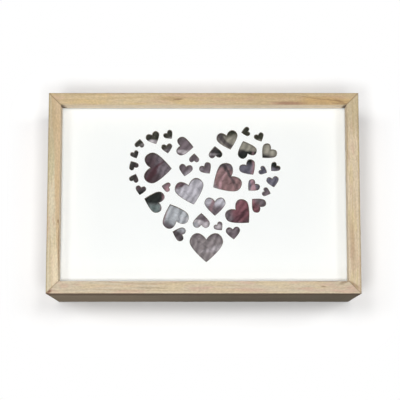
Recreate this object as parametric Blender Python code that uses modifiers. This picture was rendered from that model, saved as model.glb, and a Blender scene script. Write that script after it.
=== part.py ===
"""Wooden keepsake box: a mitred tray and a lift-off picture lid.

The lid is a mitred frame of four rails. A pane, a white mat board with heart-shaped windows, a print
and a backing board are stacked in the rebate on its underside. The backing board stands a little below
the rails and drops between the tray's sides, which keeps the lid in its place.

Metres, +Z up. The origin is the middle of the underside, +X runs along the box.
"""
import math

import bmesh
import bpy
from mathutils import Matrix, Vector

# Overall size
LENGTH = 0.340
WIDTH = 0.221
HEIGHT = 0.120

# Lid frame
RAIL_WIDTH = 0.0135
LIP_DEPTH = 0.016
REBATE_WIDTH = 0.005

# What lies in the lid's rebate, from the top down
PANE_THICKNESS = 0.002
MAT_THICKNESS = 0.003
PRINT_THICKNESS = 0.0004
BACKING_THICKNESS = 0.006
BACKING_DROP = 0.002

# Tray
SIDE_THICKNESS = 0.0085
BOTTOM_THICKNESS = 0.004
BOTTOM_REBATE = 0.004

# Clearances and eased edges
TOUCH_GAP = 0.0003
PANEL_CLEARANCE = 0.0004
ARRIS = 0.0005
BOARD_EDGE = 0.0003

# Hearts: the motif fills the window's width less a margin at each edge
MOTIF_MARGIN = 0.022
MOTIF_DRAWN_SIZE = 0.150
HEART_CURVE_STEPS = 4

# Each heart of the motif as drawn, about the middle of the window:
# x and y of its centre and its width, in millimetres, and its turn in degrees
HEARTS = (
    (-38.5, 67.0, 10.5, 40),
    (-55.5, 63.5, 15.0, 25),
    (-71.0, 58.0, 10.0, 175),
    (-40.5, 52.0, 11.5, 10),
    (-20.5, 54.5, 20.5, 85),
    (-76.0, 45.0, 9.0, 25),
    (-78.0, 33.5, 10.5, -150),
    (-50.5, 30.0, 34.0, 88),
    (-10.5, 41.5, 10.5, 180),
    (-76.5, 19.0, 10.0, 160),
    (-69.5, 5.0, 11.0, -10),
    (-41.5, 9.0, 10.0, -100),
    (-20.0, 27.5, 14.5, -10),
    (3.0, 29.0, 13.5, 35),
    (-55.0, -7.0, 23.5, -105),
    (-14.5, 3.0, 31.5, 15),
    (-32.5, -22.5, 29.0, -160),
    (-2.5, -28.5, 18.0, 180),
    (17.0, -35.5, 10.0, 40),
    (-27.5, -43.0, 15.0, -108),
    (3.0, -58.5, 36.0, 0),
    (32.5, -42.5, 15.0, 5),
    (12.5, -13.0, 22.5, 0),
    (40.5, -21.5, 29.5, 45),
    (59.0, -10.0, 17.0, -135),
    (23.5, 16.5, 34.0, -58),
    (27.0, 61.0, 23.0, 15),
    (46.5, 71.0, 10.0, -80),
    (62.0, 64.5, 10.5, 25),
    (47.0, 51.5, 21.0, -160),
    (71.0, 47.5, 18.0, -45),
    (13.0, 48.0, 14.5, -175),
    (50.0, 29.5, 18.5, 35),
    (66.0, 27.0, 9.5, 65),
    (78.5, 30.5, 11.0, -45),
    (76.5, 14.5, 13.0, 10),
    (54.0, 9.5, 14.0, -45),
    (69.5, 3.0, 9.5, 70),
)

# Knots of a heart's right half, from the notch round to the tip, with the handle before and after
# each, in shares of the heart's width; its lobes touch y = 0 at the top
HEART_KNOTS = (
    ((-0.05, -0.10), (0.00, -0.21), (0.05, -0.10)),
    ((0.17, 0.00), (0.28, 0.00), (0.40, 0.00)),
    ((0.50, -0.13), (0.50, -0.26), (0.50, -0.42)),
    ((0.17, -0.73), (0.00, -0.87), (-0.17, -0.73)),
)
HEART_MIDDLE = -0.435

# Sizes that follow
window_length = LENGTH - 2 * RAIL_WIDTH
window_width = WIDTH - 2 * RAIL_WIDTH
rebate_length = window_length + 2 * REBATE_WIDTH
rebate_width = window_width + 2 * REBATE_WIDTH

pane_top = HEIGHT - LIP_DEPTH - TOUCH_GAP
mat_top = pane_top - PANE_THICKNESS - TOUCH_GAP
print_top = mat_top - MAT_THICKNESS - TOUCH_GAP
backing_top = print_top - PRINT_THICKNESS - TOUCH_GAP
lid_bottom = backing_top - BACKING_THICKNESS + BACKING_DROP
lid_height = HEIGHT - lid_bottom
side_height = lid_bottom - TOUCH_GAP

motif_scale = (window_width - 2 * MOTIF_MARGIN) / MOTIF_DRAWN_SIZE


def clear_scene():
    for old in list(bpy.data.objects):
        bpy.data.objects.remove(old)


def new_material(name, color, roughness, alpha=1.0):
    material = bpy.data.materials.new(name)
    material.use_nodes = True
    shader = material.node_tree.nodes["Principled BSDF"]
    shader.inputs["Base Color"].default_value = (*color, 1.0)
    shader.inputs["Roughness"].default_value = roughness
    shader.inputs["Metallic"].default_value = 0.0
    shader.inputs["Alpha"].default_value = alpha
    material.diffuse_color = (*color, alpha)
    return material


def new_group(name, collection, height):
    """An empty that holds the pieces of the lid or of the tray."""
    group = bpy.data.objects.new(name, None)
    group.location.z = height
    collection.objects.link(group)
    return group


def add_piece(name, data, material, group):
    piece = bpy.data.objects.new(name, data)
    data.materials.append(material)
    piece.parent = group
    group.users_collection[0].objects.link(piece)
    return piece


def ease_edges(piece, width):
    bevel = piece.modifiers.new("eased edges", 'BEVEL')
    bevel.width = width
    bevel.segments = 2
    bevel.limit_method = 'ANGLE'
    bevel.angle_limit = math.radians(30)


def flat_outline(name, depth):
    """An empty flat outline that is filled and given a depth, half to each side."""
    outline = bpy.data.curves.new(name, 'CURVE')
    outline.dimensions = '2D'
    outline.fill_mode = 'BOTH'
    outline.extrude = depth / 2
    return outline


def add_polygon(outline, corners):
    spline = outline.splines.new('POLY')
    spline.points.add(len(corners) - 1)
    for point, (x, y) in zip(spline.points, corners):
        point.co = (x, y, 0.0, 1.0)
    spline.use_cyclic_u = True


def add_heart(outline, x, y, width, turn):
    """A heart about its own middle at x, y: the right half's knots, then the same mirrored."""
    right = list(HEART_KNOTS)
    left = [
        tuple((-u, v) for u, v in reversed(knot))
        for knot in reversed(HEART_KNOTS[1:-1])
    ]
    to_place = Matrix.Translation((x, y, 0.0)) @ Matrix.Rotation(turn, 4, 'Z')
    spline = outline.splines.new('BEZIER')
    spline.bezier_points.add(len(right) + len(left) - 1)
    for point, knot in zip(spline.bezier_points, right + left):
        before, middle, after = (
            to_place @ Vector((u * width, (v - HEART_MIDDLE) * width, 0.0)) for u, v in knot
        )
        point.handle_left_type = 'FREE'
        point.handle_right_type = 'FREE'
        point.handle_left = before
        point.co = middle
        point.handle_right = after
    spline.use_cyclic_u = True
    spline.resolution_u = HEART_CURVE_STEPS


def bar_mesh(name, run, section):
    """A bar along X with mitred ends. The section's points are its depth from the outer face, which
    lies on y = 0 with the inside toward +Y, and their height."""
    outline = flat_outline(name + " section", run)
    add_polygon(outline, section)
    blank = bpy.data.objects.new(name + " blank", outline)
    bpy.context.scene.collection.objects.link(blank)
    depsgraph = bpy.context.evaluated_depsgraph_get()
    mesh = bpy.data.meshes.new_from_object(blank.evaluated_get(depsgraph))
    mesh.name = name
    bpy.data.objects.remove(blank)
    bpy.data.curves.remove(outline)
    # the section's x is the bar's depth, its y the height, and its extrusion the run
    mesh.transform(Matrix(((0, 0, 1, 0), (1, 0, 0, 0), (0, 1, 0, 0), (0, 0, 0, 1))))

    shape = bmesh.new()
    shape.from_mesh(mesh)
    bmesh.ops.remove_doubles(shape, verts=shape.verts, dist=0.00001)
    for end in (-1, 1):
        across = Vector((end, 1, 0)).normalized()
        corner = Vector((end * run / 2, 0, 0)) - across * TOUCH_GAP / 2
        bmesh.ops.bisect_plane(
            shape,
            geom=list(shape.verts) + list(shape.edges) + list(shape.faces),
            plane_co=corner,
            plane_no=across,
            clear_outer=True,
        )
        open_edges = [edge for edge in shape.edges if edge.is_boundary]
        bmesh.ops.contextual_create(shape, geom=open_edges)
    bmesh.ops.recalc_face_normals(shape, faces=shape.faces)
    shape.to_mesh(mesh)
    shape.free()
    return mesh


def add_mitred_frame(prefix, section, material, group, edge):
    """Four mitred bars round the box's outline, two along its length and two across."""
    sides = (
        ("front", LENGTH, (0, -WIDTH / 2), 0),
        ("back", LENGTH, (0, WIDTH / 2), 180),
        ("left", WIDTH, (-LENGTH / 2, 0), -90),
        ("right", WIDTH, (LENGTH / 2, 0), 90),
    )
    for side, run, (x, y), turn in sides:
        name = f"{prefix}_{side}"
        bar = add_piece(name, bar_mesh(name, run, section), material, group)
        bar.location = (x, y, 0)
        bar.rotation_euler.z = math.radians(turn)
        ease_edges(bar, edge)


def add_board(name, size, top, material, group, edge):
    """A plain rectangular board, centred on the box, with its upper face at a height in the group."""
    mesh = bpy.data.meshes.new(name)
    shape = bmesh.new()
    bmesh.ops.create_cube(shape, size=1.0, matrix=Matrix.Diagonal((*size, 1.0)))
    shape.to_mesh(mesh)
    shape.free()
    board = add_piece(name, mesh, material, group)
    board.location.z = top - size[2] / 2
    if edge:
        ease_edges(board, edge)
    return board


def add_heart_mat(material, group):
    length = rebate_length - 2 * PANEL_CLEARANCE
    width = rebate_width - 2 * PANEL_CLEARANCE
    outline = flat_outline("lid_heart_mat", MAT_THICKNESS)
    add_polygon(outline, [(sx * length / 2, sy * width / 2)
                          for sx, sy in ((-1, -1), (1, -1), (1, 1), (-1, 1))])
    for x, y, heart_width, turn in HEARTS:
        size = 0.001 * motif_scale
        add_heart(outline, x * size, y * size, heart_width * size, math.radians(turn))
    mat = add_piece("lid_heart_mat", outline, material, group)
    mat.location.z = mat_top - lid_bottom - MAT_THICKNESS / 2


def build_lid(collection, wood, pane, mat_board, picture, hardboard):
    group = new_group("lid", collection, lid_bottom)
    under_lip = lid_height - LIP_DEPTH
    section = (
        (0, 0),
        (RAIL_WIDTH - REBATE_WIDTH, 0),
        (RAIL_WIDTH - REBATE_WIDTH, under_lip),
        (RAIL_WIDTH, under_lip),
        (RAIL_WIDTH, lid_height),
        (0, lid_height),
    )
    add_mitred_frame("lid_rail", section, wood, group, ARRIS)

    length = rebate_length - 2 * PANEL_CLEARANCE
    width = rebate_width - 2 * PANEL_CLEARANCE
    add_board("lid_pane", (length, width, PANE_THICKNESS), pane_top - lid_bottom, pane, group, 0)
    add_heart_mat(mat_board, group)
    add_board("lid_print", (length, width, PRINT_THICKNESS), print_top - lid_bottom, picture, group, 0)

    # the backing also has to drop between the tray's sides
    slot_length = min(rebate_length, LENGTH - 2 * SIDE_THICKNESS)
    slot_width = min(rebate_width, WIDTH - 2 * SIDE_THICKNESS)
    backing = (slot_length - 2 * PANEL_CLEARANCE, slot_width - 2 * PANEL_CLEARANCE, BACKING_THICKNESS)
    add_board("lid_backing", backing, backing_top - lid_bottom, hardboard, group, BOARD_EDGE)


def build_tray(collection, wood, plywood):
    group = new_group("tray", collection, 0)
    rebate_height = BOTTOM_THICKNESS + TOUCH_GAP
    section = (
        (0, 0),
        (SIDE_THICKNESS - BOTTOM_REBATE, 0),
        (SIDE_THICKNESS - BOTTOM_REBATE, rebate_height),
        (SIDE_THICKNESS, rebate_height),
        (SIDE_THICKNESS, side_height),
        (0, side_height),
    )
    add_mitred_frame("tray_side", section, wood, group, ARRIS)

    edge = SIDE_THICKNESS - BOTTOM_REBATE + PANEL_CLEARANCE
    bottom = (LENGTH - 2 * edge, WIDTH - 2 * edge, BOTTOM_THICKNESS)
    add_board("tray_bottom", bottom, BOTTOM_THICKNESS, plywood, group, BOARD_EDGE)


def main():
    clear_scene()
    collection = bpy.data.collections.new("keepsake_box")
    bpy.context.scene.collection.children.link(collection)
    wood = new_material("pale oiled wood", (0.58, 0.44, 0.27), 0.6)
    pane = new_material("clear pane", (0.95, 0.97, 0.97), 0.05, alpha=0.15)
    mat_board = new_material("white mat board", (0.92, 0.92, 0.91), 0.85)
    picture = new_material("matt photo paper", (0.27, 0.22, 0.24), 0.45)
    hardboard = new_material("brown hardboard", (0.20, 0.12, 0.065), 0.75)
    plywood = new_material("pale plywood", (0.55, 0.42, 0.27), 0.7)
    build_tray(collection, wood, plywood)
    build_lid(collection, wood, pane, mat_board, picture, hardboard)


main()
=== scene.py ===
# %% [markdown]
# # A wooden keepsake box with a picture lid
#
# The box is a mitred tray of pale, oiled softwood. Its lid is a deep mitred frame with a white mat board
# set well down inside it. The mat has 38 heart-shaped windows over a muted print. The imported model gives
# every piece's place, and this script makes what the eye sees: the boards with their grain, the cut mat,
# the print, the pane, and the light they stand in.

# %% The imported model
import math

import bmesh
import bpy
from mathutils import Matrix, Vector


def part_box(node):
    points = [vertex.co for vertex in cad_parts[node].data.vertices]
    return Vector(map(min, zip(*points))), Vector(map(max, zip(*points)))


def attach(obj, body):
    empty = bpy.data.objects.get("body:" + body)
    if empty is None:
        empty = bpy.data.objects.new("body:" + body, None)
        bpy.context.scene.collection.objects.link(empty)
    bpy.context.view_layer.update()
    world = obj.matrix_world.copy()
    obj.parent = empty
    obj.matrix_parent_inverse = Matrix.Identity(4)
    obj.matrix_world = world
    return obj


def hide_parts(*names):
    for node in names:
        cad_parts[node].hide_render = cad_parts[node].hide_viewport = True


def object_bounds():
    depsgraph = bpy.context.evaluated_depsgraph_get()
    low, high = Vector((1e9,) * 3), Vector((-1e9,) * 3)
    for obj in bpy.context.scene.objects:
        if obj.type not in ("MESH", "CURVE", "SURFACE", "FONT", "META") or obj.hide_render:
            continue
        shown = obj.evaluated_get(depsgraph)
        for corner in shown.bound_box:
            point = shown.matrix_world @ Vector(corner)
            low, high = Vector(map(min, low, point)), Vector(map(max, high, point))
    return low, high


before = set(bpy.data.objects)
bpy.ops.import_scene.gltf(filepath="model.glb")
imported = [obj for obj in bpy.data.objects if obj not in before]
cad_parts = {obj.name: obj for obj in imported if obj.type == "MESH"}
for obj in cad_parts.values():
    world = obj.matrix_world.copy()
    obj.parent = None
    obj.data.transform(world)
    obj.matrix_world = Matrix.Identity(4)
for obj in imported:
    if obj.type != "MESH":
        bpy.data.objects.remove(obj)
cad_low, cad_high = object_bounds()
print("CAD box in mm:", [round(1000 * side) for side in cad_high - cad_low])

# %% [markdown]
# ## Sizes
#
# Each board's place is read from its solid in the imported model, so that a piece made here fits where the
# solid was. Only what the eye sees and the solids don't say has a value of its own.

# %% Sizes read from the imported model
MM = 0.001

length = cad_high.x - cad_low.x
width = cad_high.y - cad_low.y
height = cad_high.z

rail_low, rail_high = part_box("lid_rail_front")
pane_low, pane_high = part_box("lid_pane")
mat_low, mat_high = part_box("lid_heart_mat")
side_low, side_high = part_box("tray_side_front")
bottom_low, bottom_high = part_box("tray_bottom")

rail_width = rail_high.y - rail_low.y
window_length = length - 2 * rail_width
window_width = width - 2 * rail_width
print("rail width", round(rail_width / MM, 2), "mm, window", round(window_length / MM), "x",
      round(window_width / MM), "mm, mat", round((height - mat_high.z) / MM, 1), "mm below the lid's top")

# %% [markdown]
# ## Three helpers
#
# Colours are written as they look on a screen, in sRGB hex, and the shaders want linear light, so one
# function turns one into the other. A material is a net of nodes, so a second function adds a node with
# its settings and fills its inputs: a plain value is set, and another node's output is linked. A third
# starts a material and hands back its net and its main shader.

# %% Colour and node helpers
def linear(hex_colour, alpha=1.0):
    """The linear colour of an sRGB hex value."""
    parts = [int(hex_colour[i:i + 2], 16) / 255 for i in (1, 3, 5)]
    return tuple(c / 12.92 if c <= 0.04045 else ((c + 0.055) / 1.055) ** 2.4 for c in parts) + (alpha,)


def add_node(tree, kind, inputs=None, **settings):
    """A new node with its settings. An input given as a socket is linked, any other is set."""
    node = tree.nodes.new(kind)
    for name, value in settings.items():
        setattr(node, name, value)
    for socket, value in (inputs or {}).items():
        if isinstance(value, bpy.types.NodeSocket):
            tree.links.new(value, node.inputs[socket])
        else:
            node.inputs[socket].default_value = value
    return node


def new_material(name):
    """A new material, its node tree and its main shader."""
    material = bpy.data.materials.new(name)
    material.use_nodes = True
    return material, material.node_tree, material.node_tree.nodes["Principled BSDF"]


print("white is", linear("#ffffff"))

# %% [markdown]
# ## The camera
#
# The box is seen square-on from above its lid. The camera stands high above it and a little in front, and
# looks down with a slight tilt towards the back, so a narrow strip of the front side shows. A small lens
# shift keeps the lid's sides nearly parallel, and the box whole in the frame.

# %% Camera
CAMERA_PLACE = Vector((0.0, -0.2133, 1.3898))
CAMERA_TILT = math.radians(7.219)
CAMERA_LENS = 106.55
CAMERA_SHIFT = (-0.009, 0.10)

camera_data = bpy.data.cameras.new("camera")
camera_data.lens = CAMERA_LENS
camera_data.sensor_width = 36.0
camera_data.shift_x, camera_data.shift_y = CAMERA_SHIFT
camera = bpy.data.objects.new("camera", camera_data)
camera.location = CAMERA_PLACE
camera.rotation_euler = (CAMERA_TILT, 0.0, 0.0)
bpy.context.scene.collection.objects.link(camera)
bpy.context.scene.camera = camera
bpy.context.scene.view_settings.view_transform = 'Standard'
print("camera", round((CAMERA_PLACE.z - height) / MM), "mm above the lid")

# %% [markdown]
# ## The studio
#
# The box stands on a white sweep. Four compact softboxes hang nearly overhead, two over the back and two
# over the front, so that the shadow is a narrow soft halo on all sides. One further out at each side lets
# the rails throw soft shadows on the mat, and weaker ones in front, behind and low at both ends rake the
# sides. The camera sees the sweep and the room as white, and the sweep is lit on its own a little way off
# the box, as photographers do. What both throw back on the box is weaker, as black flags round a set make
# it, and so the front side stays dark.

# %% Floor and room
FLOOR_SIZE = 6.0
FLOOR_SEEN = 0.97
LIT_SWEEP_NEAR = 0.035
LIT_SWEEP_FAR = 0.065
FLOOR_BOUNCE = 0.18
ROOM_BOUNCE = 0.02

bpy.ops.mesh.primitive_plane_add(size=FLOOR_SIZE, location=(0, 0, 0))
floor = bpy.context.object
floor.name = "floor"

sweep = bpy.data.materials.new("white paper sweep")
sweep.use_nodes = True
sweep_tree = sweep.node_tree
sweep_tree.nodes.clear()
ray = add_node(sweep_tree, 'ShaderNodeLightPath')
place = add_node(sweep_tree, 'ShaderNodeTexCoord')
either_way = add_node(sweep_tree, 'ShaderNodeVectorMath', {0: place.outputs['Object']},
                      operation='ABSOLUTE')
past_outline = add_node(sweep_tree, 'ShaderNodeVectorMath', {
    0: either_way.outputs[0], 1: (length / 2, width / 2, 0)}, operation='SUBTRACT')
outside = add_node(sweep_tree, 'ShaderNodeVectorMath', {0: past_outline.outputs[0], 1: (0, 0, 0)},
                   operation='MAXIMUM')
away = add_node(sweep_tree, 'ShaderNodeVectorMath', {0: outside.outputs[0]}, operation='LENGTH')
lit_share = add_node(sweep_tree, 'ShaderNodeMapRange', {
    'Value': away.outputs['Value'], 'From Min': LIT_SWEEP_NEAR, 'From Max': LIT_SWEEP_FAR},
    interpolation_type='SMOOTHSTEP')
paper = add_node(sweep_tree, 'ShaderNodeBsdfDiffuse', {'Color': (FLOOR_SEEN,) * 3 + (1,)})
lit = add_node(sweep_tree, 'ShaderNodeEmission', {'Color': (1, 1, 1, 1), 'Strength': 1.0})
seen = add_node(sweep_tree, 'ShaderNodeMixShader', {
    0: lit_share.outputs[0], 1: paper.outputs[0], 2: lit.outputs[0]})
thrown = add_node(sweep_tree, 'ShaderNodeBsdfDiffuse', {'Color': (FLOOR_BOUNCE,) * 3 + (1,)})
either = add_node(sweep_tree, 'ShaderNodeMixShader', {
    0: ray.outputs['Is Camera Ray'], 1: thrown.outputs[0], 2: seen.outputs[0]})
add_node(sweep_tree, 'ShaderNodeOutputMaterial', {'Surface': either.outputs[0]})
floor.data.materials.append(sweep)

world = bpy.data.worlds.new("white room")
bpy.context.scene.world = world
world.use_nodes = True
world_tree = world.node_tree
world_tree.nodes.clear()
ray = add_node(world_tree, 'ShaderNodeLightPath')
strength = add_node(world_tree, 'ShaderNodeMapRange', {
    'Value': ray.outputs['Is Camera Ray'], 'To Min': ROOM_BOUNCE, 'To Max': 1.0})
background = add_node(world_tree, 'ShaderNodeBackground', {
    'Color': (1, 1, 1, 1), 'Strength': strength.outputs[0]})
add_node(world_tree, 'ShaderNodeOutputWorld', {'Surface': background.outputs[0]})
print("floor", FLOOR_SIZE, "m wide")

# %% Lights
LIGHT_DISTANCE = 1.5
lid_middle = Vector((0, 0, height))


def add_softbox(name, slope_x, slope_y, size, brightness):
    """A round softbox aimed at the lid from a direction that leans by its slopes from the vertical. A
    brightness of 1 alone shows a white surface on the lid as white."""
    data = bpy.data.lights.new(name, 'AREA')
    data.shape = 'DISK'
    data.size = size
    light = bpy.data.objects.new(name, data)
    up = Vector((slope_x, slope_y, 1)).normalized()
    data.energy = brightness * math.pi ** 2 * LIGHT_DISTANCE ** 2 / up.z
    light.location = lid_middle + up * LIGHT_DISTANCE
    light.rotation_euler = up.to_track_quat('Z', 'Y').to_euler()
    light.visible_camera = False
    bpy.context.scene.collection.objects.link(light)
    return light


back_left = add_softbox("back left softbox", -0.13, 0.03, 0.24, 0.17)
back_right = add_softbox("back right softbox", 0.11, 0.03, 0.22, 0.14)
add_softbox("front left softbox", -0.13, -0.285, 0.24, 0.25)
add_softbox("front right softbox", 0.11, -0.285, 0.22, 0.16)
add_softbox("left side softbox", -0.65, 0.065, 0.4, 0.16)
add_softbox("right side softbox", 0.65, 0.11, 0.4, 0.16)
add_softbox("front side softbox", 0.0, -1.0, 0.3, 0.05)
add_softbox("low right softbox", 12.0, 0.0, 0.2, 0.022)
add_softbox("low left softbox", -12.0, 0.0, 0.2, 0.022)
add_softbox("low back softbox", 0.0, 12.0, 0.2, 0.03)
# the pane would mirror the back pair straight into the lens, so that pair gives no gloss
back_left.visible_glossy = False
back_right.visible_glossy = False

# %% [markdown]
# ## The boards
#
# All eight boards of the box are mitred bars: four rails of the lid, with a rebate on the lower inner edge
# that holds the pane, mat and backing, and four sides of the tray, with a small rebate for the bottom. A
# joiner planes one long stick to its section and cuts it to length at 45 degrees, so each bar is made the
# same way: a block, a strip extruded from its underside, two slanting cuts, and sanded arrises. The long
# bar is made once and turned half round for the opposite side, and so is the short one.

# %% Helpers for modelling
def deselect_all():
    """Nothing stays selected, so that an operator acts only on the new piece."""
    if bpy.context.mode != 'OBJECT':
        bpy.ops.object.mode_set(mode='OBJECT')
    bpy.ops.object.select_all(action='DESELECT')


def add_block(name, low, high):
    """A cube primitive between two corners, with its place and size in its mesh."""
    deselect_all()
    bpy.ops.mesh.primitive_cube_add(size=1.0, location=(low + high) / 2)
    block = bpy.context.object
    block.name = block.data.name = name
    block.scale = high - low
    bpy.ops.object.transform_apply(location=True, rotation=True, scale=True)
    return block


def select_by_place(kind, chosen):
    """In edit mode, selects only the faces or the edges for which the test is true."""
    bpy.ops.mesh.select_mode(type='FACE' if kind == 'faces' else 'EDGE')
    bpy.ops.mesh.select_all(action='DESELECT')
    mesh = bmesh.from_edit_mesh(bpy.context.object.data)
    for part in getattr(mesh, kind):
        if chosen(part):
            part.select_set(True)
    bmesh.update_edit_mesh(bpy.context.object.data)


def cut_all(point, normal, drop=False):
    """In edit mode, bisects the whole mesh. With drop, the side that the normal points to goes."""
    bpy.ops.mesh.select_all(action='SELECT')
    bpy.ops.mesh.bisect(plane_co=point, plane_no=normal, clear_outer=drop, use_fill=drop,
                        threshold=0.001 * MM)


def shade_with_flat_faces(piece, degrees):
    """Smooths the arrises. Large faces outweigh small ones in the normals, so they stay flat."""
    bpy.ops.object.shade_smooth_by_angle(angle=math.radians(degrees))
    weighted = piece.modifiers.new("flat faces", 'WEIGHTED_NORMAL')
    weighted.keep_sharp = True
    bpy.ops.object.modifier_apply(modifier=weighted.name)


def turned_copy(piece, name, degrees):
    """A copy with its own mesh, turned about the box's upright middle line."""
    deselect_all()
    piece.select_set(True)
    bpy.context.view_layer.objects.active = piece
    bpy.ops.object.duplicate()
    copy = bpy.context.object
    copy.name = copy.data.name = name
    copy.rotation_euler.z = math.radians(degrees)
    bpy.ops.object.transform_apply(location=False, rotation=True, scale=False)
    return copy


print("helpers ready")

# %% A mitred bar
ARRIS = 0.9 * MM
ARRIS_STEPS = 3
MITRE_GAP = 0.15 * MM
FACES_DOWN = -0.9
# in degrees: faces that turn less are one plane, and arrises that turn less are shaded smooth
SAME_PLANE = 1
SMOOTH_BARS = 40


def mitred_bar(name, run, reach, block_low, block_high, block_width, leg_low, leg_width):
    """A bar along X on the box's -Y side, with its outer face at y = -reach: a block from block_low to
    block_high, and below it a narrower leg down to leg_low, both flush with the outer face."""
    bar = add_block(name, Vector((-run / 2, -reach, block_low)),
                    Vector((run / 2, block_width - reach, block_high)))
    bpy.ops.object.mode_set(mode='EDIT')
    cut_all((0, leg_width - reach, 0), (0, 1, 0))
    select_by_place('faces', lambda face: face.normal.z < FACES_DOWN
                    and face.calc_center_median().y < leg_width - reach)
    bpy.ops.mesh.extrude_region_move(TRANSFORM_OT_translate={"value": (0, 0, leg_low - block_low)})
    for end in (-1, 1):
        outwards = Vector((end, 1, 0)).normalized()
        corner = Vector((end * run / 2, -reach, 0)) - outwards * MITRE_GAP / 2
        cut_all(corner, outwards, drop=True)
    bpy.ops.mesh.select_all(action='SELECT')
    bpy.ops.mesh.dissolve_limited(angle_limit=math.radians(SAME_PLANE))
    select_by_place('edges', lambda edge: abs(edge.verts[0].co.x - edge.verts[1].co.x) > run / 2)
    bpy.ops.mesh.bevel(offset=ARRIS, segments=ARRIS_STEPS, affect='EDGES')
    bpy.ops.object.mode_set(mode='OBJECT')
    shade_with_flat_faces(bar, SMOOTH_BARS)
    return bar


# %% Lid rails
PANEL_CLEARANCE = 0.4 * MM
TOUCH_GAP = 0.3 * MM

leg_width = pane_low.y - cad_low.y - PANEL_CLEARANCE
lip_low = pane_high.z + TOUCH_GAP
rail_section = (lip_low, rail_high.z, rail_width, rail_low.z, leg_width)
front_rail = mitred_bar("front_rail", length, width / 2, *rail_section)
short_rail = mitred_bar("short_rail", width, length / 2, *rail_section)
lid_rails = {
    "front": front_rail,
    "back": turned_copy(front_rail, "back_rail", 180),
    "right": turned_copy(short_rail, "right_rail", 90),
    "left": turned_copy(short_rail, "left_rail", -90),
}
bpy.data.objects.remove(short_rail)
for side, rail in lid_rails.items():
    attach(rail, "root")
    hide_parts("lid_rail_" + side)
    print(rail.name, len(rail.data.polygons), "faces")

# %% Tray sides
side_thickness = side_high.y - side_low.y
foot_width = bottom_low.y - cad_low.y - PANEL_CLEARANCE
side_section = (bottom_high.z + TOUCH_GAP, side_high.z, side_thickness, 0.0, foot_width)
front_side = mitred_bar("front_side", length, width / 2, *side_section)
short_side = mitred_bar("short_side", width, length / 2, *side_section)
tray_sides = {
    "front": front_side,
    "back": turned_copy(front_side, "back_side", 180),
    "right": turned_copy(short_side, "right_side", 90),
    "left": turned_copy(short_side, "left_side", -90),
}
bpy.data.objects.remove(short_side)
for side, board in tray_sides.items():
    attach(board, "root")
    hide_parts("tray_side_" + side)
    print(board.name, len(board.data.polygons), "faces")

# %% [markdown]
# ## Pale oiled wood
#
# The boards look like paulownia or pale pine, planed, sanded and wiped with oil: straight grain along
# each board, a satin surface, soft yellow and rosy patches, and darker streaks of late wood. Each board
# comes from another part of a stick, so each has a material of its own, made by one function. The
# pattern is solid and in millimetres of the board's own frame: X runs along the board, Y is the depth
# from its outer face, Z the height. Noise drawn out along the board gives the bands and the fibres, and
# marks that one board alone has are named with their places.

# %% A board's own millimetres
def board_millimetres(tree, turn, reach):
    """The point in a board's own frame, in mm, for a board turned by so many degrees."""
    place = add_node(tree, 'ShaderNodeTexCoord')
    turned = add_node(tree, 'ShaderNodeMapping', {
        'Vector': place.outputs['Object'],
        'Rotation': (0, 0, -math.radians(turn)),
        'Location': (0, reach, 0)})
    in_mm = add_node(tree, 'ShaderNodeVectorMath', {
        0: turned.outputs[0], 1: (1 / MM,) * 3}, operation='MULTIPLY')
    return in_mm.outputs[0]


def grain(tree, point, size, seed, detail=2.0):
    """A grey pattern whose lumps measure so many mm along, into and up the board."""
    drawn_out = add_node(tree, 'ShaderNodeVectorMath', {
        0: point, 1: tuple(1 / s for s in size)}, operation='MULTIPLY')
    noise = add_node(tree, 'ShaderNodeTexNoise', {
        'Vector': drawn_out.outputs[0], 'W': seed, 'Scale': 1.0, 'Detail': detail},
        noise_dimensions='4D')
    return noise.outputs['Fac']


def add_mark(tree, colour, point, place, size, turn, soft, strength, mark_colour):
    """Lays an oval mark over a colour: place and half sizes in mm, turned by so many degrees."""
    inside = add_node(tree, 'ShaderNodeMapping', {
        'Vector': point, 'Location': place, 'Rotation': (0, 0, math.radians(turn)), 'Scale': size},
        vector_type='TEXTURE')
    distance = add_node(tree, 'ShaderNodeVectorMath', {0: inside.outputs[0]}, operation='LENGTH')
    share = add_node(tree, 'ShaderNodeMapRange', {
        'Value': distance.outputs['Value'], 'From Min': 1 - soft, 'From Max': 1 + soft,
        'To Min': strength, 'To Max': 0.0}, interpolation_type='SMOOTHSTEP')
    mixed = add_node(tree, 'ShaderNodeMix', {
        0: share.outputs[0], 6: colour, 7: linear(mark_colour)}, data_type='RGBA')
    return mixed.outputs[2]


print("grain sizes are in mm")

# %% The wood of one board
THROUGH = 1000.0
JOINT_BROWN = "#7d6446"
JOINT_STARTS = -0.6
JOINT_FULL = 1.2
JOINT_STRENGTH = 0.5
FIBRE_RELIEF = 0.06 * MM


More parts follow.
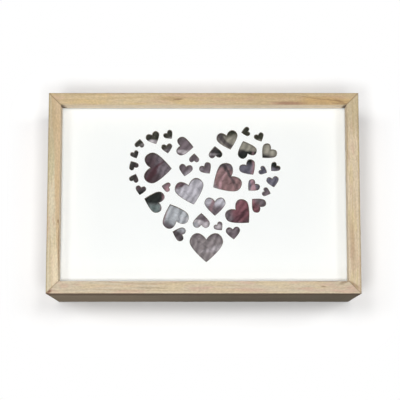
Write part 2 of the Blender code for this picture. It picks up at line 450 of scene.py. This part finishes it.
def oiled_wood(name, turn, reach, run, tones, seed, marks=(), stains=()):
    """Planed and oiled pale wood for the board that is turned by so many degrees. Marks follow the
    wandering grain, and stains stay where they are put. Some of both are painted light and shade."""
    pale, streak, rosy, yellow = tones
    material, tree, shader = new_material(name)
    point = board_millimetres(tree, turn, reach)

    # the grain wanders by a millimetre or two, and has small scallops
    slow = grain(tree, point, (80, 30, 40), seed, detail=0)
    quick = grain(tree, point, (6, 6, 9), seed + 1, detail=1)
    slow_shift = add_node(tree, 'ShaderNodeMapRange', {'Value': slow, 'To Min': -3.0, 'To Max': 3.0})
    quick_shift = add_node(tree, 'ShaderNodeMapRange', {
        'Value': quick, 'To Min': -0.7, 'To Max': 0.7})
    shift = add_node(tree, 'ShaderNodeMath', {
        0: slow_shift.outputs[0], 1: quick_shift.outputs[0]}, operation='ADD')
    sideways = add_node(tree, 'ShaderNodeCombineXYZ', {'Y': shift.outputs[0], 'Z': shift.outputs[0]})
    wandered = add_node(tree, 'ShaderNodeVectorMath', {0: point, 1: sideways.outputs[0]}).outputs[0]

    # streaks of late wood, then rosy and yellow patches
    colour = linear(pale)
    for size, low, high, most, tone in (
            ((110, 2.4, 5), 0.45, 0.7, 0.8, streak),
            ((26, 4.5, 9), 0.5, 0.68, 0.7, rosy),
            ((34, 5.5, 9), 0.5, 0.66, 0.7, yellow),
            ((9, 1.1, 1.4), 0.58, 0.72, 0.6, streak)):
        seed += 2
        lumps = grain(tree, wandered, size, seed, detail=1)
        share = add_node(tree, 'ShaderNodeMapRange', {
            'Value': lumps, 'From Min': low, 'From Max': high, 'To Max': most},
            interpolation_type='SMOOTHSTEP')
        mixed = add_node(tree, 'ShaderNodeMix', {0: share.outputs[0], 6: colour, 7: linear(tone)},
                         data_type='RGBA')
        colour = mixed.outputs[2]

    for place, size, mark_turn, soft, strength, mark_colour in marks:
        colour = add_mark(tree, colour, wandered, place, size, mark_turn, soft, strength, mark_colour)
    for place, size, mark_turn, soft, strength, mark_colour in stains:
        colour = add_mark(tree, colour, point, place, size, mark_turn, soft, strength, mark_colour)

    # fibres and pores: real ones are a few tenths of a millimetre wide, here they are drawn coarser
    fibres = grain(tree, wandered, (16, 0.9, 0.9), seed + 4, detail=3)
    pores = grain(tree, point, (2.6, 1.3, 1.3), seed + 6, detail=2)
    for pattern, darkest, palest in ((fibres, 0.9, 1.07), (pores, 0.87, 1.11)):
        shade = add_node(tree, 'ShaderNodeMapRange', {
            'Value': pattern, 'From Min': 0.3, 'From Max': 0.7, 'To Min': darkest, 'To Max': palest})
        shaded = add_node(tree, 'ShaderNodeMix', {0: 1.0, 6: colour, 7: shade.outputs[0]},
                          data_type='RGBA', blend_type='MULTIPLY')
        colour = shaded.outputs[2]

    # the end grain at the mitres drinks more oil, so each joint shows as a rough darker line
    parts = add_node(tree, 'ShaderNodeSeparateXYZ', {0: point})
    along = add_node(tree, 'ShaderNodeMath', {0: parts.outputs['X']}, operation='ABSOLUTE')
    to_corner = add_node(tree, 'ShaderNodeMath', {
        0: along.outputs[0], 1: parts.outputs['Y']}, operation='ADD')
    rough = add_node(tree, 'ShaderNodeMath', {
        0: pores, 1: 2.0, 2: to_corner.outputs[0]}, operation='MULTIPLY_ADD')
    half_run = run / 2 / MM
    joint = add_node(tree, 'ShaderNodeMapRange', {
        'Value': rough.outputs[0], 'From Min': half_run + JOINT_STARTS,
        'From Max': half_run + JOINT_FULL, 'To Max': JOINT_STRENGTH}, interpolation_type='SMOOTHSTEP')
    jointed = add_node(tree, 'ShaderNodeMix', {
        0: joint.outputs[0], 6: colour, 7: linear(JOINT_BROWN)}, data_type='RGBA')

    tree.links.new(jointed.outputs[2], shader.inputs['Base Color'])
    satin = add_node(tree, 'ShaderNodeMapRange', {'Value': fibres, 'To Min': 0.8, 'To Max': 0.68})
    tree.links.new(satin.outputs[0], shader.inputs['Roughness'])
    shader.inputs['Specular IOR Level'].default_value = 0.35
    relief = add_node(tree, 'ShaderNodeBump', {
        'Strength': 0.4, 'Distance': FIBRE_RELIEF, 'Height': fibres})
    tree.links.new(relief.outputs[0], shader.inputs['Normal'])
    return material


TURNS = {"front": (0, width / 2, length), "right": (90, length / 2, width),
         "back": (180, width / 2, length), "left": (-90, length / 2, width)}
print("boards turned by", {side: turn for side, (turn, reach, run) in TURNS.items()})

# %% [markdown]
# The four rails don't match: a maker uses what is on the shelf. The back rail is the yellowest, with a
# sloping dark streak and short brown dashes, the left one is the palest, with a rosy band of late wood
# along its inside, and the front one is the greyest, with pinkish patches. Light and shade are painted on
# the rails too: the walls at both ends of the mat are greyer as painted shade, and the one behind it is
# paler as painted light, with painted shadow in its corners and along its foot near both ends. The outer
# arrises of the back and end rails are darker as painted shade. The front rail has a painted highlight
# along its outer arris, painted shade on its outer face, lighter towards its left end, and painted shade
# along its inner edge near its right end. Each mark is an oval: its place and half sizes along, into and
# up the board in mm, its turn in degrees, how soft its edge is, its strength and its colour.

# %% Lid rails: their wood
rail_tones = {
    "front": (("#c5b79f", "#b5a186", "#c2a391", "#c9b796"), 11.0),
    "right": (("#cdbca1", "#bda685", "#c4a992", "#cbba93"), 23.0),
    "back": (("#c9b592", "#b8a07a", "#c4a78e", "#cbb284"), 37.0),
    "left": (("#cfc3a8", "#c3b08e", "#c5aa92", "#c9b993"), 41.0),
}
rail_marks = {
    "front": (
        ((-150.0, 7.7, 120.0), (5.0, 2.4, 8.0), 0, 0.5, 0.35, "#ba917f"),
        ((50.0, 4.5, 120.0), (17.0, 2.0, 8.0), 0, 0.6, 0.5, "#c09d8c"),
        ((-54.0, 7.7, 120.0), (15.0, 1.0, 8.0), 0, 0.6, 0.6, "#9e8e77"),
        ((129.0, 6.6, 120.0), (2.6, 0.8, 8.0), 0, 0.5, 0.7, "#917a5e"),
    ),
    "right": (
        ((-57.0, 9.6, 120.0), (30.0, 2.4, 8.0), 2, 0.6, 0.55, "#a98d70"),
        ((88.0, 5.0, 120.0), (22.0, 9.0, 8.0), 0, 0.5, 0.4, "#a79872"),
    ),
    "back": (
        ((35.0, 7.3, 120.0), (13.0, 2.4, 8.0), 0, 0.7, 0.5, "#a08768"),
        ((28.0, 8.0, 120.0), (5.0, 0.8, 8.0), 3, 0.5, 0.7, "#80644a"),
        ((-105.0, 7.0, 120.0), (100.0, 20.0, 30.0), 0, 0.5, 0.3, "#a78b67"),
        ((-95.0, 10.4, 120.0), (17.0, 2.2, 8.0), 0, 0.7, 0.7, "#926a57"),
        ((-133.0, 8.6, 120.0), (26.0, 4.6, 8.0), -4, 0.6, 0.6, "#bc9864"),
        ((-132.0, 6.5, 120.0), (30.0, 0.7, 8.0), -9.2, 0.6, 0.5, "#8d6f4c"),
        ((-150.0, 10.0, 120.0), (7.0, 1.4, 8.0), -25, 0.6, 0.45, "#7e5e41"),
        ((-148.0, 12.0, 120.0), (9.0, 0.7, 8.0), -6, 0.6, 0.45, "#7e5e41"),
    ),
    "left": (
        ((0.0, 21.0, 120.0), (900.0, 12.0, 60.0), 2.9, 0.03, 0.7, "#c2a580"),
        ((-33.0, 3.5, 120.0), (24.0, 4.6, 8.0), 0, 0.5, 0.5, "#b2a87f"),
        ((82.0, 10.0, 120.0), (24.0, 3.6, 8.0), 0, 0.5, 0.55, "#e6d5b6"),
        ((-75.0, 3.0, 120.0), (34.0, 5.0, 8.0), 0, 0.5, 0.6, "#b09e7a"),
    ),
}
# painted shade: the outer arris of the back and end rails is darker, as if turned away from the light
OUTER_ARRIS_SHADE = ((0.0, 0.0, 120.0), (900.0, 1.5, 3.0), 0, 0.5, 0.5, "#94825f")
# the tone of a rail's inner wall: painted light on the wall behind the mat, painted shade on the walls at
# both ends
INNER_WALL_LIGHT_AND_SHADE = ((0.0, 13.5, 106.0), (900.0, 0.7, 13.6), 0, 0.1)
rail_stains_and_painted_light = {
    "front": (
        ((-167.5, 1.0, 120.0), (4.5, 1.8, 6.0), 35, 0.5, 0.85, "#70402f"),
        # painted shade: a dark line along the front rail's inner arris, thicker near its right end
        ((134.0, 13.6, 120.0), (26.0, 1.0, 2.0), 0, 0.6, 0.6, "#7c6248"),
        ((152.0, 12.6, 120.0), (6.0, 1.6, 2.0), 20, 0.6, 0.6, "#7c6248"),
        # painted highlight: a pale line along the front rail's outer arris, which faces the light
        ((0.0, 1.3, 120.0), (165.0, 0.8, 2.0), 0, 0.6, 0.5, "#d0c1a2"),
        # painted shade: the front rail's outer face is darker, and painted light makes it paler towards
        # its left end
        ((0.0, 0.0, 106.0), (900.0, 1.0, 13.5), 0, 0.15, 0.4, "#8b6358"),
        ((-160.0, 0.0, 106.0), (70.0, 1.0, 13.5), 0, 0.7, 0.4, "#d6b396"),
    ),
    "right": (
        OUTER_ARRIS_SHADE,
        # painted shade: the wall at this end of the mat is greyer, as if in shade
        INNER_WALL_LIGHT_AND_SHADE + (0.5, "#b5a590"),
        ((60.0, 13.0, 120.0), (34.0, 0.9, 3.0), 0, 0.5, 0.5, "#94795a"),
        ((-101.0, 8.0, 120.0), (1.6, 7.0, 8.0), -35, 0.6, 0.6, "#8a6a4c"),
    ),
    "back": (
        OUTER_ARRIS_SHADE,
        # painted light: the wall behind the mat is paler, as if lit from the front and by the white mat
        INNER_WALL_LIGHT_AND_SHADE + (0.95, "#f4e3c8"),
        # painted shadow: the corners of the wall behind the mat are dark, and a dark line runs along its
        # foot near both ends
        ((157.0, 13.5, 107.0), (5.0, 2.0, 13.0), 0, 0.5, 0.9, "#4a3624"),
        ((-157.0, 13.5, 107.0), (4.0, 2.0, 13.0), 0, 0.5, 0.9, "#4a3624"),
        ((144.0, 13.5, 101.4), (16.0, 1.0, 2.0), 0, 0.6, 0.8, "#57422e"),
        ((-148.0, 13.5, 101.4), (10.0, 1.0, 2.0), 0, 0.6, 0.8, "#57422e"),
    ),
    "left": (
        OUTER_ARRIS_SHADE,
        # painted shade: the wall at this end of the mat is greyer, as if in shade
        INNER_WALL_LIGHT_AND_SHADE + (0.6, "#bfb19c"),
        ((64.0, 13.2, 120.0), (30.0, 0.7, 3.0), 0, 0.6, 0.6, "#80613f"),
        ((32.0, 12.2, 120.0), (2.0, 0.9, 3.0), 0, 0.5, 0.6, "#7a5b3b"),
    ),
}
for side, rail in lid_rails.items():
    tones, seed = rail_tones[side]
    rail.data.materials.append(oiled_wood(
        "oiled wood of the " + side + " rail", *TURNS[side], tones, seed, rail_marks[side],
        rail_stains_and_painted_light[side]))

# %% Tray sides: their wood
side_tones = {
    # painted shade: the front side's tones are a little greyer and darker than the other sides'
    "front": (("#c4b39c", "#ad9a82", "#b79d8c", "#bfae91"), 53.0),
    "right": (("#c9b69c", "#b69f85", "#be9f8c", "#c6b294"), 67.0),
    "back": (("#c7b298", "#b29a7e", "#ba9a85", "#c3ac8b"), 71.0),
    "left": (("#cab79f", "#b8a188", "#bfa08e", "#c7b396"), 89.0),
}
side_painted_light_and_shade = {
    "front": (
        # painted light and shade: the front side is paler towards its left end and darker towards its
        # right
        ((-150.0, 0.0, 50.0), (120.0, 4.0, 80.0), 0, 0.7, 0.85, "#ead2b4"),
        ((150.0, 0.0, 50.0), (120.0, 4.0, 80.0), 0, 0.6, 0.15, "#a2937e"),
    ),
    "right": (), "back": (), "left": (),
}
for side, board in tray_sides.items():
    tones, seed = side_tones[side]
    board.data.materials.append(oiled_wood(
        "oiled wood of the " + side + " side", *TURNS[side], tones, seed, side_painted_light_and_shade[side]))

# %% [markdown]
# ## The heart mat
#
# The mat is a thick white board, and a laser has cut 38 hearts out of it, all sizes of one drawing, so
# that together they make a large heart. One die is drawn as a Bezier outline, made a mesh and given a
# depth. A copy of it is placed for each window, the copies are joined into one tool, and the tool is
# taken out of the board with a Boolean. The cut rims are bevelled by about a third of a mm.

# %% The heart die
HEART_KNOTS = (
    ((-0.05, -0.10), (0.00, -0.21), (0.05, -0.10)),
    ((0.17, 0.00), (0.28, 0.00), (0.40, 0.00)),
    ((0.50, -0.13), (0.50, -0.26), (0.50, -0.42)),
    ((0.17, -0.73), (0.00, -0.87), (-0.17, -0.73)),
)
HEART_MIDDLE = -0.435
HEART_STEPS = 12
MERGE_DISTANCE = 0.0001
DIE_DEPTHS = 3


def heart_die(depth):
    """A heart 1 wide about its own middle, with a depth in metres, half of it each way."""
    right = list(HEART_KNOTS)
    left = [tuple((-u, v) for u, v in reversed(knot)) for knot in reversed(HEART_KNOTS[1:-1])]
    outline = bpy.data.curves.new("heart die", 'CURVE')
    outline.dimensions = '2D'
    outline.fill_mode = 'BOTH'
    spline = outline.splines.new('BEZIER')
    spline.bezier_points.add(len(right) + len(left) - 1)
    for knot, (before, middle, after) in zip(spline.bezier_points, right + left):
        knot.handle_left_type = knot.handle_right_type = 'FREE'
        knot.handle_left = (before[0], before[1] - HEART_MIDDLE, 0)
        knot.co = (middle[0], middle[1] - HEART_MIDDLE, 0)
        knot.handle_right = (after[0], after[1] - HEART_MIDDLE, 0)
    spline.use_cyclic_u = True
    spline.resolution_u = HEART_STEPS
    die = bpy.data.objects.new("heart_die", outline)
    bpy.context.scene.collection.objects.link(die)
    deselect_all()
    die.select_set(True)
    bpy.context.view_layer.objects.active = die
    bpy.ops.object.convert(target='MESH')
    bpy.ops.object.mode_set(mode='EDIT')
    bpy.ops.mesh.select_all(action='SELECT')
    bpy.ops.mesh.remove_doubles(threshold=MERGE_DISTANCE)
    bpy.ops.transform.translate(value=(0, 0, -depth / 2))
    bpy.ops.mesh.extrude_region_move(TRANSFORM_OT_translate={"value": (0, 0, depth)})
    bpy.ops.mesh.select_all(action='SELECT')
    bpy.ops.mesh.normals_make_consistent(inside=False)
    bpy.ops.object.mode_set(mode='OBJECT')
    return bpy.context.object


mat_thickness = mat_high.z - mat_low.z
die = heart_die(DIE_DEPTHS * mat_thickness)
print("the die has", len(die.data.vertices), "corners")

# %% The 38 windows
# each heart about the middle of the window: x, y and width in mm, and its turn in degrees
HEARTS = (
    (-38.5, 67.0, 10.5, 40), (-55.5, 63.5, 15.0, 25), (-71.0, 58.0, 10.0, 175),
    (-40.5, 52.0, 11.5, 10), (-20.5, 54.5, 20.5, 85), (-76.0, 45.0, 9.0, 25),
    (-78.0, 33.5, 10.5, -150), (-50.5, 30.0, 34.0, 88), (-10.5, 41.5, 10.5, 180),
    (-76.5, 19.0, 10.0, 160), (-69.5, 5.0, 11.0, -10), (-41.5, 9.0, 10.0, -100),
    (-20.0, 27.5, 14.5, -10), (3.0, 29.0, 13.5, 35), (-55.0, -7.0, 23.5, -105),
    (-14.5, 3.0, 31.5, 15), (-32.5, -22.5, 29.0, -160), (-2.5, -28.5, 18.0, 180),
    (17.0, -35.5, 10.0, 40), (-27.5, -43.0, 15.0, -108), (3.0, -58.5, 36.0, 0),
    (32.5, -42.5, 15.0, 5), (12.5, -13.0, 22.5, 0), (40.5, -21.5, 29.5, 45),
    (59.0, -10.0, 17.0, -135), (23.5, 16.5, 34.0, -58), (27.0, 61.0, 23.0, 15),
    (46.5, 71.0, 10.0, -80), (62.0, 64.5, 10.5, 25), (47.0, 51.5, 21.0, -160),
    (71.0, 47.5, 18.0, -45), (13.0, 48.0, 14.5, -175), (50.0, 29.5, 18.5, 35),
    (66.0, 27.0, 9.5, 65), (78.5, 30.5, 11.0, -45), (76.5, 14.5, 13.0, 10),
    (54.0, 9.5, 14.0, -45), (69.5, 3.0, 9.5, 70),
)
RIM = 0.35 * MM

mat_middle = (mat_low.z + mat_high.z) / 2
windows = []
for x, y, heart_width, turn in HEARTS:
    window = die.copy()
    window.data = die.data.copy()
    window.location = (x * MM, y * MM, mat_middle)
    window.rotation_euler.z = math.radians(turn)
    window.scale = (heart_width * MM, heart_width * MM, 1.0)
    bpy.context.scene.collection.objects.link(window)
    windows.append(window)
deselect_all()
for window in windows:
    window.select_set(True)
bpy.context.view_layer.objects.active = windows[0]
bpy.ops.object.join()
bpy.ops.object.transform_apply(location=True, rotation=True, scale=True)
cutter = bpy.context.object
print(len(windows), "windows in one tool")

# %% The mat board
RIM_STEPS = 2
# the least turn of an edge that counts as a rim, in radians
RIM_TURN = 1.2
SMOOTH_MAT = 35
FACES_UP = 0.95
OUTER_EDGE = 1.0 * MM

heart_mat = add_block("heart_mat_board", mat_low, mat_high)
cut = heart_mat.modifiers.new("windows", 'BOOLEAN')
cut.object = cutter
cut.operation = 'DIFFERENCE'
bpy.ops.object.modifier_apply(modifier=cut.name)
bpy.data.objects.remove(cutter)
bpy.data.objects.remove(die)
bpy.ops.object.mode_set(mode='EDIT')
select_by_place('edges', lambda edge: len(edge.link_faces) == 2 and edge.calc_face_angle(0) > RIM_TURN
                and min(v.co.z for v in edge.verts) > mat_high.z - RIM)
bpy.ops.mesh.bevel(offset=RIM, segments=RIM_STEPS, affect='EDGES')
bpy.ops.object.mode_set(mode='OBJECT')
shade_with_flat_faces(heart_mat, SMOOTH_MAT)
for face in heart_mat.data.polygons:
    inside = (abs(face.center.x) < mat_high.x - OUTER_EDGE
              and abs(face.center.y) < mat_high.y - OUTER_EDGE)
    face.material_index = int(inside and abs(face.normal.z) < FACES_UP)
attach(heart_mat, "root")
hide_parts("lid_heart_mat")
print("mat", len(heart_mat.data.polygons), "faces")

# %% [markdown]
# White mat board is solid rag or wood pulp, bleached, pressed and left uncoated, so it is a clean, dead
# matt white, with a faint tooth of fibres about half a millimetre apart that only a low light shows.

# %% White mat board
TOOTH_SPACING = 0.5 * MM
TOOTH_RELIEF = 0.03 * MM
CLOUD_SIZE = 40 * MM

pulp, pulp_tree, pulp_shader = new_material("uncoated white mat board")
pulp_shader.inputs['Roughness'].default_value = 0.9
pulp_shader.inputs['Specular IOR Level'].default_value = 0.3
place = add_node(pulp_tree, 'ShaderNodeTexCoord')
tooth = add_node(pulp_tree, 'ShaderNodeTexNoise', {
    'Vector': place.outputs['Object'], 'Scale': 1 / TOOTH_SPACING, 'Detail': 2.0})
cloudy = add_node(pulp_tree, 'ShaderNodeTexNoise', {
    'Vector': place.outputs['Object'], 'Scale': 1 / CLOUD_SIZE, 'Detail': 1.0})
shade = add_node(pulp_tree, 'ShaderNodeMix', {
    0: cloudy.outputs['Fac'], 6: linear("#f4f6f5"), 7: linear("#f6f8f7")}, data_type='RGBA')
pulp_tree.links.new(shade.outputs[2], pulp_shader.inputs['Base Color'])
relief = add_node(pulp_tree, 'ShaderNodeBump', {
    'Strength': 0.3, 'Distance': TOOTH_RELIEF, 'Height': tooth.outputs['Fac']})
pulp_tree.links.new(relief.outputs[0], pulp_shader.inputs['Normal'])
heart_mat.data.materials.append(pulp)
print(pulp.name)

# %% [markdown]
# The cut walls of the mat are brown. The rim is darkest, by the laser's scorch and by painted shade, and
# the foot of the wall is a painted shadow where the mat meets the print. Between them the wall is paler.
# The thin brown line round every heart comes from this scorch and painted shade.

# %% Browned cut
SCORCH_SIZE = 3 * MM

browned, browned_tree, browned_shader = new_material("scorched cut of the mat board with painted shade")
browned_shader.inputs['Roughness'].default_value = 0.85
browned_shader.inputs['Specular IOR Level'].default_value = 0.2
place = add_node(browned_tree, 'ShaderNodeTexCoord')
scorch_noise = add_node(browned_tree, 'ShaderNodeTexNoise', {
    'Vector': place.outputs['Object'], 'Scale': 1 / SCORCH_SIZE, 'Detail': 2.0})
parts = add_node(browned_tree, 'ShaderNodeSeparateXYZ', {0: place.outputs['Object']})
painted_foot_shadow = add_node(browned_tree, 'ShaderNodeMapRange', {
    'Value': parts.outputs['Z'], 'From Min': mat_low.z, 'From Max': mat_high.z - 2 * RIM,
    'To Min': 1.0, 'To Max': 0.0}, interpolation_type='SMOOTHSTEP')
at_rim = add_node(browned_tree, 'ShaderNodeMapRange', {
    'Value': parts.outputs['Z'], 'From Min': mat_high.z - 1.5 * RIM, 'From Max': mat_high.z - 0.8 * RIM})
# painted shadow: the foot of the wall is dark brown where it meets the print
foot = add_node(browned_tree, 'ShaderNodeMix', {
    0: painted_foot_shadow.outputs[0], 6: linear("#c3b7a5"), 7: linear("#4a3d31")}, data_type='RGBA')
# the rim: scorch from the laser, darkened further as painted shade
scorch = add_node(browned_tree, 'ShaderNodeMix', {
    0: scorch_noise.outputs['Fac'], 6: linear("#4d4034"), 7: linear("#7d6c5a")}, data_type='RGBA')
cut_colour = add_node(browned_tree, 'ShaderNodeMix', {
    0: at_rim.outputs[0], 6: foot.outputs[2], 7: scorch.outputs[2]}, data_type='RGBA')
browned_tree.links.new(cut_colour.outputs[2], browned_shader.inputs['Base Color'])
heart_mat.data.materials.append(browned)
print(browned.name)

# %% [markdown]
# ## The print
#
# Behind the mat lies a print on paper, seen only in pieces through the hearts. It is a made-up still
# life of crumpled cloth in mauve, dusty pink, grey and black. Broad soft areas come first, each an oval
# of one colour, with edges that noise pulls out of true. Ribbons of lighter and darker cloth are laid
# over them by a plain rule, as the seeds of a sunflower are, and folds are shaded over it all.

# %% The print's cloths
# x, y, half length and half width in mm, turn in degrees, softness of the edge, colour
CLOTHS = (
    (-58, 66, 42, 19, 22, 0.3, "#3c3a33"),
    (-84, 28, 14, 30, 0, 0.35, "#403d3b"),
    (48, 76, 52, 14, -4, 0.3, "#39382d"),
    (56, 55, 40, 9, -12, 0.3, "#8f8b80"),
    (50, 41, 46, 8, -12, 0.3, "#1b1d1a"),
    (60, 22, 34, 12, -8, 0.3, "#696673"),
    (-60, 26, 16, 22, 10, 0.3, "#4b3c41"),
    (-40, 30, 12, 20, 0, 0.3, "#71676e"),
    (-60, -1, 20, 9, 10, 0.3, "#232524"),
    (-52, -18, 20, 10, 10, 0.3, "#697473"),
    (-8, 4, 26, 22, 40, 0.25, "#b3b0b8"),
    (-28, -26, 22, 13, -30, 0.25, "#a6a9ae"),
    (26, 2, 24, 13, 10, 0.25, "#b6b4bd"),
    (26, 16, 19, 13, -35, 0.25, "#8c6f70"),
    (48, -18, 16, 15, 0, 0.25, "#7b5058"),
    (54, -34, 15, 10, 30, 0.4, "#3f373b"),
    (0, -62, 34, 16, 0, 0.3, "#857d7f"),
)
BETWEEN = ("#655a60", "#75696f")
CRUMPLE_SIZE = 20
CRUMPLE_PULL = 12

picture, picture_tree, picture_shader = new_material("matt print on photo paper")
place = add_node(picture_tree, 'ShaderNodeTexCoord')
in_mm = add_node(picture_tree, 'ShaderNodeVectorMath', {
    0: place.outputs['Object'], 1: (1 / MM, 1 / MM, 0)}, operation='MULTIPLY')
crumple = add_node(picture_tree, 'ShaderNodeTexNoise', {
    'Vector': in_mm.outputs[0], 'Scale': 1 / CRUMPLE_SIZE, 'Detail': 3.0})
pulled = add_node(picture_tree, 'ShaderNodeVectorMath', {
    0: crumple.outputs['Color'], 1: (CRUMPLE_PULL, CRUMPLE_PULL, 0),
    2: (-CRUMPLE_PULL / 2, -CRUMPLE_PULL / 2, 0)}, operation='MULTIPLY_ADD')
crumpled = add_node(picture_tree, 'ShaderNodeVectorMath', {0: in_mm.outputs[0], 1: pulled.outputs[0]})
ground = add_node(picture_tree, 'ShaderNodeMix', {
    0: crumple.outputs['Fac'], 6: linear(BETWEEN[0]), 7: linear(BETWEEN[1])}, data_type='RGBA')
colour = ground.outputs[2]
for x, y, half_length, half_width, turn, soft, cloth in CLOTHS:
    colour = add_mark(picture_tree, colour, crumpled.outputs[0], (x, y, 0),
                      (half_length, half_width, THROUGH), turn, soft, 1.0, cloth)

# %% Ribbons over the cloths
# each ribbon lies a golden angle on from the last and a little further out, so none lines up with another
GOLDEN_ANGLE = math.pi * (3 - math.sqrt(5))
RIBBONS = 16
RIBBONS_REACH = 80
RIBBON_HALF_LENGTH = 24
RIBBON_HALF_WIDTHS = (2.0, 3.5, 2.6)
RIBBON_COLOURS = ("#a9868d", "#4f3038", "#c0b9be", "#463e42")
RIBBON_LEAN = 70
RIBBON_SOFT = 0.5
RIBBON_STRENGTH = 0.85
for count in range(RIBBONS):
    around = count * GOLDEN_ANGLE
    out = RIBBONS_REACH * math.sqrt((count + 0.5) / RIBBONS)
    colour = add_mark(picture_tree, colour, crumpled.outputs[0],
                      (out * math.cos(around), out * math.sin(around), 0),
                      (RIBBON_HALF_LENGTH, RIBBON_HALF_WIDTHS[count % len(RIBBON_HALF_WIDTHS)], THROUGH),
                      math.degrees(around) + RIBBON_LEAN, RIBBON_SOFT, RIBBON_STRENGTH,
                      RIBBON_COLOURS[count % len(RIBBON_COLOURS)])
print(RIBBONS, "ribbons over the cloths")

# %% Folds over the cloths
FOLD_SPACING = 7.0
FOLD_TURN = 28
BILLOW_SIZE = 9
RIDGE_SIZE = 13

billows = add_node(picture_tree, 'ShaderNodeTexNoise', {
    'Vector': crumpled.outputs[0], 'Scale': 1 / BILLOW_SIZE, 'Detail': 3.0, 'Distortion': 1.0})
billow_shade = add_node(picture_tree, 'ShaderNodeMapRange', {
    'Value': billows.outputs['Fac'], 'From Min': 0.3, 'From Max': 0.7, 'To Min': 0.75, 'To Max': 1.22})
billowed = add_node(picture_tree, 'ShaderNodeMix', {0: 1.0, 6: colour, 7: billow_shade.outputs[0]},
                    data_type='RGBA', blend_type='MULTIPLY')
hanging = add_node(picture_tree, 'ShaderNodeMapping', {
    'Vector': in_mm.outputs[0], 'Rotation': (0, 0, math.radians(FOLD_TURN))})
drapes = add_node(picture_tree, 'ShaderNodeTexWave', {
    'Vector': hanging.outputs[0], 'Scale': math.pi / 10 / FOLD_SPACING, 'Distortion': 9.0,
    'Detail': 3.0, 'Detail Scale': 0.6, 'Detail Roughness': 0.6}, wave_profile='SIN')
drape_shade = add_node(picture_tree, 'ShaderNodeMapRange', {
    'Value': drapes.outputs['Fac'], 'To Min': 0.74, 'To Max': 1.18})
draped = add_node(picture_tree, 'ShaderNodeMix', {
    0: 1.0, 6: billowed.outputs[2], 7: drape_shade.outputs[0]},
    data_type='RGBA', blend_type='MULTIPLY')
ridges = add_node(picture_tree, 'ShaderNodeTexNoise', {
    'Vector': crumpled.outputs[0], 'Scale': 1 / RIDGE_SIZE, 'Detail': 1.0})
from_ridge = add_node(picture_tree, 'ShaderNodeMath', {
    0: ridges.outputs['Fac'], 1: 0.5}, operation='SUBTRACT')
to_ridge = add_node(picture_tree, 'ShaderNodeMath', {0: from_ridge.outputs[0]}, operation='ABSOLUTE')
crease_shade = add_node(picture_tree, 'ShaderNodeMapRange', {
    'Value': to_ridge.outputs[0], 'From Min': 0.0, 'From Max': 0.02, 'To Min': 0.72, 'To Max': 1.0},
    interpolation_type='SMOOTHSTEP')
creased = add_node(picture_tree, 'ShaderNodeMix', {
    0: 1.0, 6: draped.outputs[2], 7: crease_shade.outputs[0]},
    data_type='RGBA', blend_type='MULTIPLY')
picture_tree.links.new(creased.outputs[2], picture_shader.inputs['Base Color'])
picture_shader.inputs['Roughness'].default_value = 0.85
picture_shader.inputs['Specular IOR Level'].default_value = 0.2
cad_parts["lid_print"].material_slots[0].material = picture
print(len(CLOTHS), "areas of cloth in the print")

# %% [markdown]
# ## The pane
#
# A thin clear pane keeps dust off the mat. It lies flat under the lip of the rails. Seen from straight
# above it all but vanishes, so it is a nearly clear coat with a polished gloss, by plain alpha, which
# lets the soft lights through without the grain that a refracting sheet would cost.

# %% Clear polished pane
pane, _, pane_shader = new_material("clear polished pane")
pane_shader.inputs['Base Color'].default_value = linear("#66736f")
pane_shader.inputs['Roughness'].default_value = 0.03
pane_shader.inputs['IOR'].default_value = 1.5
pane_shader.inputs['Alpha'].default_value = 0.02
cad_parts["lid_pane"].material_slots[0].material = pane
print(pane.name)

# %% [markdown]
# ## Backing and bottom
#
# The two plain boards show only from below or with the lid off. The backing is hardboard, brown pressed
# fibre with a faint speckle. The bottom is thin plywood, whose face veneer has broad, pale figure.

# %% Hardboard
SPECKLE_SIZE = 1.2 * MM

hardboard, hardboard_tree, hardboard_shader = new_material("pressed hardboard")
hardboard_shader.inputs['Roughness'].default_value = 0.7
place = add_node(hardboard_tree, 'ShaderNodeTexCoord')
speckle = add_node(hardboard_tree, 'ShaderNodeTexNoise', {
    'Vector': place.outputs['Object'], 'Scale': 1 / SPECKLE_SIZE, 'Detail': 4.0})
shade = add_node(hardboard_tree, 'ShaderNodeMapRange', {
    'Value': speckle.outputs['Fac'], 'From Min': 0.35, 'From Max': 0.65})
brown = add_node(hardboard_tree, 'ShaderNodeMix', {
    0: shade.outputs[0], 6: linear("#5f4630"), 7: linear("#8a6a49")}, data_type='RGBA')
hardboard_tree.links.new(brown.outputs[2], hardboard_shader.inputs['Base Color'])
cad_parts["lid_backing"].material_slots[0].material = hardboard
print(hardboard.name)

# %% Plywood
plywood, plywood_tree, plywood_shader = new_material("sanded plywood veneer")
plywood_shader.inputs['Roughness'].default_value = 0.6
place = add_node(plywood_tree, 'ShaderNodeTexCoord')
in_mm = add_node(plywood_tree, 'ShaderNodeVectorMath', {
    0: place.outputs['Object'], 1: (1 / MM,) * 3}, operation='MULTIPLY')
figure = grain(plywood_tree, in_mm.outputs[0], (160, 11, 30), 5.0, detail=2)
veneer_fibres = grain(plywood_tree, in_mm.outputs[0], (14, 0.8, 0.8), 6.0, detail=3)
figured = add_node(plywood_tree, 'ShaderNodeMapRange', {
    'Value': figure, 'From Min': 0.4, 'From Max': 0.62}, interpolation_type='SMOOTHSTEP')
veneer = add_node(plywood_tree, 'ShaderNodeMix', {
    0: figured.outputs[0], 6: linear("#c9b48c"), 7: linear("#b3986c")}, data_type='RGBA')
fibre_shade = add_node(plywood_tree, 'ShaderNodeMapRange', {
    'Value': veneer_fibres, 'From Min': 0.3, 'From Max': 0.7, 'To Min': 0.88, 'To Max': 1.06})
fibred = add_node(plywood_tree, 'ShaderNodeMix', {
    0: 1.0, 6: veneer.outputs[2], 7: fibre_shade.outputs[0]}, data_type='RGBA', blend_type='MULTIPLY')
plywood_tree.links.new(fibred.outputs[2], plywood_shader.inputs['Base Color'])
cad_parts["tray_bottom"].material_slots[0].material = plywood
print(plywood.name)
